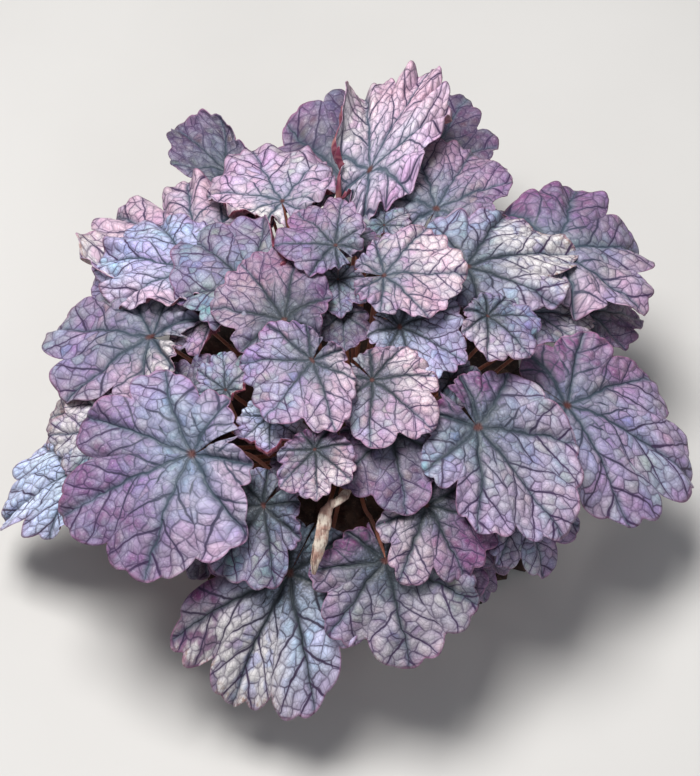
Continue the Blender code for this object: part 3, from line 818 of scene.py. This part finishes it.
def floor_skin():
    made, recipe, shader = new_material("studio_floor")
    cloud, _ = recipe.noise(object_place(recipe), *CLOUDS["floor"])
    recipe.feed(shader.inputs["Base Color"], recipe.mix(recipe.step(cloud, "floor"), *FLOOR_TONES))
    recipe.feed(shader.inputs["Roughness"], recipe.step(cloud, "floor roughness"))
    return made


def skirt_leaves():
    """Old leaves under the rim, evenly spaced, by turns a little nearer and farther out, dark in the
    shade tone, which is painted shade.
    """
    leaves = []
    for k in range(SKIRT_COUNT):
        bearing = SKIRT_START + 360.0 * k / SKIRT_COUNT
        reach = SKIRT_REACH[k % 2]
        leaves.append(Leaf(reach * cos(radians(bearing)),
                           reach * sin(radians(bearing)), SKIRT_LAYER, bearing,
                           SKIRT_LENGTH[k % 2], SKIRT_WIDTH, "shade", SKIRT_LIFT, SKIRT_FOLD))
    return leaves


def smooth_abs(value, softness):
    return sqrt(value * value + softness * softness) - softness


def smooth_step(value, low, high):
    share = min(1.0, max(0.0, (value - low) / (high - low)))
    return share * share * (3.0 - 2.0 * share)


def mound_slope(reach):
    """Angle of the mound's surface at this distance from the axis."""
    q = min(reach, MOUND_RIM) / MOUND_RADIUS
    return atan(MOUND_HEIGHT / MOUND_RADIUS * q / sqrt(1.0 - q * q))


def mound_height(x, y, layer):
    """Height of one layer of the mound over a point on the ground."""
    reach = hypot(x, y)
    slope = mound_slope(reach)
    inside = min(reach, MOUND_RIM)
    height = MOUND_HEIGHT * sqrt(1.0 - (inside / MOUND_RADIUS) ** 2)
    return height - (reach - inside) * tan(slope) + layer * LAYER_GAP / cos(slope)


def level(bearing):
    """Level direction at a bearing."""
    return Vector((cos(bearing), sin(bearing), 0.0))


def pointing(polar, bearing):
    """Direction at an angle from straight up, toward a bearing."""
    return Vector((sin(polar) * cos(bearing), sin(polar) * sin(bearing), cos(polar)))


def grid_points(bm, columns, rows):
    """Points of a new flat grid, which reaches from -1 to 1 both ways."""
    return bmesh.ops.create_grid(bm, x_segments=columns, y_segments=rows, size=1.0)["verts"]


def leaf_frame(leaf):
    """Hub, midrib, side and upward directions of a blade."""
    slope = mound_slope(hypot(leaf.x, leaf.y))
    bearing = atan2(leaf.y, leaf.x)
    up = pointing(slope, bearing)
    ahead = level(radians(leaf.heading))
    midrib = (ahead - up * ahead.dot(up)).normalized()
    hub = Vector((leaf.x, leaf.y, mound_height(leaf.x, leaf.y, leaf.layer)))
    return hub, midrib, up.cross(midrib), up


def leaf_shape(number):
    """A leaf's own lengths of lobes and depths of notches, the same on every run."""
    chance = random.Random(SHAPE_SEED + number)
    count = int(2 * SINUS_ANGLE / TOOTH_ANGLE) + 2
    return Shape([chance.uniform(*LOBE_LENGTHS) for _ in range(count)],
                 [LOBE_DEPTH * chance.uniform(*LOBE_DEPTHS) for _ in range(count)],
                 [TOOTH_DEPTH * chance.uniform(*TOOTH_DEPTHS) for _ in range(count)],
                 chance.uniform(0.0, MOST_SWELL_SEED))


def scallop(degrees, angle, depths, roundness):
    """Share of the radius left by a row of rounded scallops, each notch with its own depth."""
    notch = int(degrees / angle + ceil(SINUS_ANGLE / angle))
    return 1.0 - depths[notch] * (1.0 - abs(cos(pi * degrees / angle)) ** roundness)


def outline_radius(degrees, shape):
    """Distance from hub to edge, as a share of the leaf's length."""
    front = (0.5 + 0.5 * cos(radians(degrees))) ** OUTLINE_POWER
    body = BACK_RADIUS + (1.0 - BACK_RADIUS) * front
    lobes = ceil(SINUS_ANGLE / LOBE_ANGLE)
    body *= between(shape.lengths, degrees / LOBE_ANGLE + lobes)
    # Tips lie at multiples of the angle of a lobe or tooth, and notches halfway between them
    return (body * scallop(degrees, LOBE_ANGLE, shape.lobes, LOBE_ROUND)
            * scallop(degrees, TOOTH_ANGLE, shape.teeth, TOOTH_ROUND))


def curled(reach, t, bend):
    """Distance from the hub and rise of a point of a blade whose edge curls over by an angle."""
    if t <= CURL_START or bend < CURL_LEAST:
        return reach * t, 0.0
    start = reach * CURL_START
    radius = (reach - start) / bend
    turned = bend * (t - CURL_START) / (1.0 - CURL_START)
    return start + radius * sin(turned), radius * (1.0 - cos(turned))


def blade_point(leaf, look, number, axes, shape, degrees, t):
    """Point of the blade at an angle from the midrib, t of the way out, and its flat place."""
    hub, midrib, across, up = axes
    phase = PHASE_STEP * number
    turn = radians(degrees)
    angle = turn + radians(WARP) * sin(WARP_TURNS * turn + phase)
    share = outline_radius(degrees, shape)
    reach = share * leaf.length * (1.0 + UNEVEN * sin(UNEVEN_TURNS * turn + phase))
    bend = radians(look.curl) * facing(leaf, degrees, look.curl_way, CURL_SECTOR)
    distance, rise = curled(reach, t, bend)
    u = distance * cos(angle)
    v = distance * sin(angle) * leaf.width
    flat = hub + midrib * u + across * v
    drop = mound_height(flat.x, flat.y, leaf.layer) - flat.z
    rise += tan(radians(leaf.lift)) * u
    rise += leaf.fold * smooth_abs(v, FOLD_SOFTNESS * leaf.length)
    for weight, turns, shift in RUFFLE_WAVES:
        rise += RUFFLE * weight * leaf.length * t * t * sin(turns * turn + shift * phase)
    edge = smooth_step(t, FRILL_START, 1.0)
    for weight, turns, shift in FRILL_WAVES:
        rise += FRILL * look.frill * weight * leaf.length * edge * sin(turns * turn
                                                                           + shift * phase)
    rise -= DROOP * leaf.length * edge * edge
    crease = 1.0 - abs(sin(pi * degrees / LOBE_ANGLE))
    rise -= KEEL * leaf.length * t * crease * crease
    share *= t
    rise -= FUNNEL * leaf.length * exp(-(share / FUNNEL_REACH) ** 2)
    spot = Vector((u, v, 0.0)) * (SWELL_SCALE / leaf.length)
    rise += SWELL * leaf.length * t * noise.noise(spot + Vector((0.0, 0.0, shape.seed)))
    place = (share * cos(turn), share * sin(turn), number * SEED_STEP % 1.0)
    return flat + Vector((0.0, 0.0, drop)) + up * rise, place


def facing(leaf, degrees, way, sector):
    """How far a direction from the hub lies toward one on the ground plan, from 0 to 1."""
    return smooth_step(0.5 + 0.5 * cos(radians(leaf.heading + degrees - way)), *sector)


def paint_point(leaf, look, degrees, t):
    """Sun blush, wine red and dimness at a point of the blade, and how bleached it is, the bleaching
    partly a painted highlight.
    """
    inside = smooth_step(t, *ZONE_START)
    zones = (look.blush * facing(leaf, degrees, look.blush_way, WIDE_SECTOR) * inside,
             look.wine * facing(leaf, degrees, look.wine_way, WIDE_SECTOR) * inside, look.dusk)
    bleached = look.pale * facing(leaf, degrees, look.pale_way, NARROW_SECTOR)
    return zones, bleached * smooth_step(t, *BLEACH_AND_HIGHLIGHT_START)


def mesh_of(bm, name, scale=MM):
    """Mesh in metres from a shape, by default one in millimetres, which is freed."""
    bmesh.ops.scale(bm, vec=(scale, scale, scale), verts=bm.verts)
    mesh = bpy.data.meshes.new(name)
    bm.to_mesh(mesh)
    bm.free()
    return mesh


def blade_mesh(leaf, look, number, axes):
    """Sheet of one blade: a grid of angle and distance, finer outward, laid on the mound."""
    bm = bmesh.new()
    shape = leaf_shape(number)
    rows = max(LEAST_ROWS, int(round(leaf.length / BLADE_ROW)))
    grid_points(bm, BASE_COLUMNS, rows)
    for start in [start for start, shortest in HALVINGS if leaf.length > shortest]:
        rings = [edge for edge in bm.edges
                 if abs(edge.verts[0].co.y - edge.verts[1].co.y) < SAME_RING
                 and edge.verts[0].co.y > start]
        bmesh.ops.subdivide_edges(bm, edges=rings, cuts=1, use_grid_fill=True)
    layers = bm.verts.layers
    place_layer, zones_layer = [layers.float_vector.new(name) for name in ("place", "zones")]
    rim_layer, pale_and_highlight_layer, grain_layer = [layers.float.new(name)
                                          for name in ("rim", "pale", "grain")]
    tint_layer = layers.float_color.new("tint")
    # The tint is the tone scaled by the leaf's lightness, which also paints light and shade onto it
    tint = [look.shine * part for part in TONES[leaf.tone]] + [1.0]
    grain = (GRAIN_LENGTH / leaf.length) ** GRAIN_POWER
    for vert in bm.verts:
        degrees = vert.co.x * BLADE_SPREAD
        t = 0.5 + 0.5 * vert.co.y
        vert.co, vert[place_layer] = blade_point(leaf, look, number, axes, shape, degrees, t)
        vert[zones_layer], vert[pale_and_highlight_layer] = paint_point(leaf, look, degrees, t)
        vert[rim_layer] = t
        vert[tint_layer] = tint
        vert[grain_layer] = grain
    bmesh.ops.remove_doubles(bm, verts=bm.verts, dist=SAME_POINT)
    bmesh.ops.reverse_faces(bm, faces=bm.faces)
    return mesh_of(bm, "blade")


def settled(source):
    """Mesh of an object with its modifiers applied. The object itself is removed."""
    bpy.context.view_layer.update()
    graph = bpy.context.evaluated_depsgraph_get()
    mesh = bpy.data.meshes.new_from_object(source.evaluated_get(graph))
    old = source.data
    bpy.data.objects.remove(source)
    if isinstance(old, bpy.types.Mesh):
        bpy.data.meshes.remove(old)
    else:
        bpy.data.curves.remove(old)
    return mesh


def in_scene(name, data):
    made = bpy.data.objects.new(name, data)
    bpy.context.scene.collection.objects.link(made)
    return made


def finished_blade(leaf, number, axes, pucker):
    """Blade with its puckered skin and real thickness."""
    look = Look(*LOOKS.get(number + 1, HIDDEN_LOOK))
    sheet = in_scene("sheet", blade_mesh(leaf, look, number, axes))
    tree, height = pucker
    skin = sheet.modifiers.new("pucker", "NODES")
    skin.node_group = tree
    skin[height] = leaf.length * MM
    wall = sheet.modifiers.new("wall", "SOLIDIFY")
    wall.thickness = BLADE_THICKNESS * MM
    wall.offset = 0.0
    wall.material_offset = 1
    for _ in range(2):
        sheet.data.materials.append(None)
    return settled(sheet)


def stalk_mesh(points, widths, resolution):
    """Round stalk along a Bezier through points given with their handles."""
    curve = bpy.data.curves.new("stalk", "CURVE")
    curve.dimensions = "3D"
    curve.resolution_u = resolution
    curve.render_resolution_u = resolution
    curve.bevel_depth = MM
    curve.bevel_resolution = STALK_ROUNDNESS
    curve.use_fill_caps = True
    spline = curve.splines.new("BEZIER")
    spline.bezier_points.add(len(points) - 1)
    for knot, (before, here, after), width in zip(spline.bezier_points, points, widths):
        knot.handle_left_type = "FREE"
        knot.handle_right_type = "FREE"
        knot.handle_left = before * MM
        knot.co = here * MM
        knot.handle_right = after * MM
        knot.radius = 0.5 * width
    return settled(in_scene("stalk", curve))


def joined(name, parts, finishes):
    """One piece from meshes, each with the number of its first finish."""
    bm = bmesh.new()
    for mesh, first in parts:
        known = len(bm.faces)
        bm.from_mesh(mesh)
        bm.faces.ensure_lookup_table()
        for face in bm.faces[known:]:
            face.material_index += first
            face.smooth = True
        bpy.data.meshes.remove(mesh)
    mesh = mesh_of(bm, name, 1.0)
    for finish in finishes:
        mesh.materials.append(finish)
    return in_scene(name, mesh)


def crown_radius(z):
    """Outline of the crown: a short barrel under a dome."""
    if z < CROWN_WAIST:
        swell = sin(0.5 * pi * z / CROWN_WAIST)
        return CROWN_BASE_RADIUS + (CROWN_RADIUS - CROWN_BASE_RADIUS) * swell
    share = (z - CROWN_WAIST) / (CROWN_HEIGHT - CROWN_WAIST)
    return CROWN_RADIUS * sqrt(max(0.0, 1.0 - share * share))


def spread_seats(places):
    """Direction of each stalk's seat on the crown's dome, pushed apart until they clear."""
    seats = []
    for x, y in places:
        bearing = atan2(y, x)
        share = min(1.0, hypot(x, y) / SEAT_REACH)
        polar = radians(SEAT_TOP_ANGLE + (SEAT_LOW_ANGLE - SEAT_TOP_ANGLE) * share)
        seats.append((sin(polar) * cos(bearing), sin(polar) * sin(bearing), cos(polar)))
    seats = np.array(seats)
    spacing = SEAT_SPACING / CROWN_RADIUS
    apart_from_self = np.eye(len(seats)) * FAR_APART
    for _ in range(SPREAD_ROUNDS):
        gaps = seats[:, None, :] - seats[None, :, :]
        distance = np.linalg.norm(gaps, axis=2) + apart_from_self
        push = np.clip(spacing - distance, 0.0, None) * SPREAD_SHARE
        seats += (gaps / distance[:, :, None] * push[:, :, None]).sum(axis=1)
        seats[:, 2] = np.clip(seats[:, 2], SEAT_LOWEST, None)
        seats /= np.linalg.norm(seats, axis=1)[:, None]
    return [Vector(seat) for seat in seats]


def crown_place(direction):
    """Point on the smooth dome in a direction from the dome's centre, and its normal."""
    rise = CROWN_HEIGHT - CROWN_WAIST
    point = Vector((direction.x * CROWN_RADIUS, direction.y * CROWN_RADIUS,
                    CROWN_WAIST + direction.z * rise))
    normal = Vector((direction.x / CROWN_RADIUS, direction.y / CROWN_RADIUS, direction.z / rise))
    return point, normal.normalized()


def leaf_piece(leaf, number, direction, pucker, finishes):
    """One leaf: blade and stalk, from its hub in to its seat on the crown."""
    axes = leaf_frame(leaf)
    hub, midrib, across, up = axes
    seat, normal = crown_place(direction)
    span = (hub - seat).length
    outness = min(1.0, hypot(leaf.x, leaf.y) / ARRIVAL_REACH)
    arrival = radians(INNER_ARRIVAL - ARRIVAL_DROP * outness)
    hub = hub - up * (FUNNEL * leaf.length + HUB_DEPTH)
    near_hub = hub - (midrib * cos(arrival) + up * sin(arrival)) * span * HUB_HANDLE
    near_seat = seat + normal * span * SEAT_HANDLE
    stalk = stalk_mesh([(seat, seat, near_seat), (near_hub, hub, hub)],
                       [STALK_WIDTH * share for share in STALK_TAPER], STALK_STEPS)
    blade = finished_blade(leaf, number, axes, pucker)
    name = "leaf_%02d" % (number + 1)
    piece = joined("heuchera_" + name, [(blade, 0), (stalk, 2)], finishes)
    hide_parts(name)
    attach(piece, "root")


def crown_body():
    """The crown's barrel, turned about its axis and roughened."""
    bm = bmesh.new()
    profile = [bm.verts.new((0.0, 0.0, 0.0))]
    for ring in range(CROWN_RINGS):
        z = CROWN_HEIGHT * sin(0.5 * pi * ring / CROWN_RINGS)
        profile.append(bm.verts.new((crown_radius(z), 0.0, z)))
    profile.append(bm.verts.new((0.0, 0.0, CROWN_HEIGHT)))
    edges = [bm.edges.new(pair) for pair in zip(profile, profile[1:])]
    bmesh.ops.spin(bm, geom=profile + edges, axis=(0, 0, 1), cent=(0, 0, 0), steps=CROWN_STEPS,
                   angle=2.0 * pi, use_merge=True)
    bmesh.ops.remove_doubles(bm, verts=bm.verts, dist=CLOSE)
    bmesh.ops.recalc_face_normals(bm, faces=bm.faces)
    bm.normal_update()
    for vert in bm.verts:
        if vert.co.z > BARK_START:
            rough = noise.fractal(vert.co * BARK_GRAIN, *BARK_NOISE)
            sway = RIDGE_SWAY * noise.noise(vert.co * RIDGE_SCALE)
            ridge = sin(vert.co.z * RIDGE_TURNS + sway)
            vert.co += vert.normal * (BARK_ROUGHNESS * rough + BARK_RIDGE * ridge)
    return mesh_of(bm, "crown_body")


def crown_scales():
    """Scales that old stalks left on the crown, in a spiral from its top down."""
    bm = bmesh.new()
    chance = random.Random(SCALE_SEED)
    low, steep, hollow = SCALE_LIFT
    for k in range(SCALE_COUNT):
        bearing = SCALE_TURN * k
        polar = SCALE_TOP + SCALE_SPREAD * sqrt((k + 0.5) / SCALE_COUNT)
        point, normal = crown_place(pointing(polar, bearing))
        out = level(bearing)
        side = normal.cross(Vector((0.0, 0.0, 1.0))).normalized()
        rise = side.cross(normal).normalized()
        length = chance.uniform(*SCALE_LENGTHS)
        for vert in grid_points(bm, *SCALE_GRID):
            a, b = vert.co.x, 0.5 + 0.5 * vert.co.y
            wide = SCALE_WIDTH * (1.0 - b) ** SCALE_TIP * a
            lift = low + steep * b * b - hollow * a * a
            vert.co = point + side * wide + rise * (length * (b - SCALE_START)) + normal * lift
            vert.co += out * chance.uniform(-SCALE_RAGGED, SCALE_RAGGED)
    bmesh.ops.solidify(bm, geom=bm.faces, thickness=SCALE_THICKNESS)
    bmesh.ops.remove_doubles(bm, verts=bm.verts, dist=CLOSE)
    return mesh_of(bm, "crown_scales")


def crown_piece(finish):
    """Woody crown with the scales of old stalks."""
    piece = joined("heuchera_crown", [(crown_body(), 0), (crown_scales(), 0)], [finish])
    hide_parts("crown")
    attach(piece, "root")


def walled(sheet_mesh):
    """A sheet of one finish, given its thickness."""
    sheet = in_scene("sheet", sheet_mesh)
    wall = sheet.modifiers.new("wall", "SOLIDIFY")
    wall.thickness = BLADE_THICKNESS * MM
    return settled(sheet)


def dead_leaf(bm, shape, bearing, reach, length, height):
    """One crumpled dead blade, lying on the ground with its tip outward."""
    out = level(bearing)
    side = Vector((-out.y, out.x, 0.0))
    above = Vector((0.0, 0.0, MAT_NOISE_STEP * height))
    for vert in grid_points(bm, *MAT_GRID):
        degrees = vert.co.x * SINUS_ANGLE
        t = 0.5 + 0.5 * vert.co.y
        turn = radians(degrees)
        distance = outline_radius(degrees, shape) * length * t
        spot = out * (reach + distance * cos(turn))
        spot += side * (distance * sin(turn) * MAT_WIDTH)
        crumple = noise.fractal((spot + above) * MAT_CREASE, *MAT_NOISE)
        rise = height + MAT_ARCH * t * (1.0 - t) * 2.0 + MAT_CRUMPLE * t * crumple
        spot.z = min(MAT_HIGHEST, max(MAT_LOWEST, rise))
        vert.co = spot


def dead_leaves_piece(finish):
    """Mat of dead leaves round the crown's foot, near-black: their own brown darkened as painted shade
    under the mound.
    """
    bm = bmesh.new()
    number = 0
    for count, first, reach, length, height in MAT_ROWS:
        for k in range(count):
            number += 1
            chance = random.Random(number)
            bearing = first + 360.0 * k / count + chance.uniform(-MAT_SWING, MAT_SWING)
            dead_leaf(bm, leaf_shape(MAT_SHAPES + number), radians(bearing),
                      reach * chance.uniform(*MAT_REACHES), length * chance.uniform(*MAT_LENGTHS),
                      height)
    bmesh.ops.remove_doubles(bm, verts=bm.verts, dist=CLOSE)
    bmesh.ops.reverse_faces(bm, faces=bm.faces)
    piece = joined("heuchera_dead_leaves", [(walled(mesh_of(bm, "mat")), 0)], [finish])
    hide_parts("dead_leaves")
    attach(piece, "root")


def between(values, place):
    """Value at a place along a list of values, with smooth joints."""
    k = min(int(place), len(values) - 2)
    share = smooth_step(place - k, 0.0, 1.0)
    return values[k] * (1.0 - share) + values[k + 1] * share


def withered_scroll(line):
    """The curled blade: an open, twisted and kinked scroll along the first part of its line."""
    bm = bmesh.new()
    side_on = (line[1] - line[0]).cross(Vector((0.0, 0.0, 1.0))).normalized()
    ways = [(b - a).normalized() for a, b in zip(line, line[1:])]
    for vert in grid_points(bm, *WITHERED_GRID):
        place = (0.5 + 0.5 * vert.co.y) * WITHERED_SCROLL
        here = between(line, place)
        ahead = between(ways, place).normalized()
        side = (side_on - ahead * side_on.dot(ahead)).normalized()
        above = side.cross(ahead)
        turn = radians(WITHERED_TWIST) * max(0.0, 1.0 - place / WITHERED_TWIST_END)
        curl = radians(WITHERED_CURL) * vert.co.x
        spot = Vector((curl * WRINKLES_AROUND, place * WRINKLES_ALONG, 0.0))
        wrinkle = WITHERED_WRINKLE * noise.fractal(spot, *WITHERED_NOISE)
        wide = WITHERED_HALF * between(WITHERED_WIDTH, place) * (1.0 + wrinkle)
        deep = WITHERED_HALF * between(WITHERED_DEPTH, place) * (1.0 + 2.0 * wrinkle)
        spot = side * (wide * cos(curl)) + above * (deep * sin(curl))
        vert.co = here + Matrix.Rotation(turn, 3, ahead) @ spot
    return walled(mesh_of(bm, "scroll"))


def withered_piece(direction, finish):
    """Curled, dried leaf on its own stalk."""
    seat, normal = crown_place(direction)
    line = [Vector(point) for point in WITHERED_PATH] + [seat]
    blade = withered_scroll(line)
    knots = []
    for k in range(WITHERED_SCROLL - 1, len(line)):
        before = line[max(0, k - 1)]
        after = line[min(len(line) - 1, k + 1)]
        lean = (after - before) / WITHERED_HANDLE
        knots.append((line[k] - lean, line[k], line[k] + lean))
    stalk = stalk_mesh(knots, [WITHERED_STALK] * len(knots), WITHERED_STALK_STEPS)
    piece = joined("heuchera_withered_leaf", [(blade, 0), (stalk, 0)], [finish])
    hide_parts("withered_leaf")
    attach(piece, "root")


def studio():
    """Pale floor, a large soft lamp overhead, a weaker one in front, and the camera."""
    bm = bmesh.new()
    bmesh.ops.create_grid(bm, x_segments=1, y_segments=1, size=FLOOR_SIZE)
    mesh = mesh_of(bm, "floor", 1.0)
    mesh.materials.append(floor_skin())
    floor = in_scene("floor", mesh)

    target = Vector(CAMERA_TARGET)
    for name, place, size, power, colour in LAMPS:
        lamp = bpy.data.lights.new(name, "AREA")
        lamp.size = size
        lamp.energy = power
        lamp.color = colour
        stand = in_scene(name, lamp)
        stand.location = place
        stand.rotation_euler = (Vector(place) - target).to_track_quat("Z", "Y").to_euler()

    world = bpy.data.worlds.new("studio")
    world.use_nodes = True
    sky = world.node_tree.nodes["Background"]
    sky.inputs["Color"].default_value = SKY_COLOUR
    sky.inputs["Strength"].default_value = SKY_POWER
    scene = bpy.context.scene
    scene.world = world

    lens = bpy.data.cameras.new("camera")
    lens.sensor_width = SENSOR
    lens.lens = CAMERA_LENS
    camera = in_scene("camera", lens)
    elevation = radians(CAMERA_ELEVATION)
    back = Vector((0.0, -cos(elevation), sin(elevation)))
    camera.location = target + back * CAMERA_DISTANCE
    camera.rotation_euler = back.to_track_quat("Z", "Y").to_euler()
    scene.camera = camera
    scene.view_settings.view_transform = "Standard"


leaves = [Leaf(*row) for row in CHOSEN_LEAVES] + skirt_leaves()
seats = spread_seats([(leaf.x, leaf.y) for leaf in leaves] + [WITHERED_PLACE])
pucker = pucker_tree()
leaf_finishes = [blade_skin(), blade_lining(), stalk_skin()]
for number, leaf in enumerate(leaves):
    leaf_piece(leaf, number, seats[number], pucker, leaf_finishes)
crown_piece(bark_skin())
dead_leaves_piece(dried_skin("dead_leaves", DEAD_DRIED_PAINTED_SHADE))
withered_piece(seats[-1], dried_skin("withered_leaf", WITHERED_DRIED))
studio()
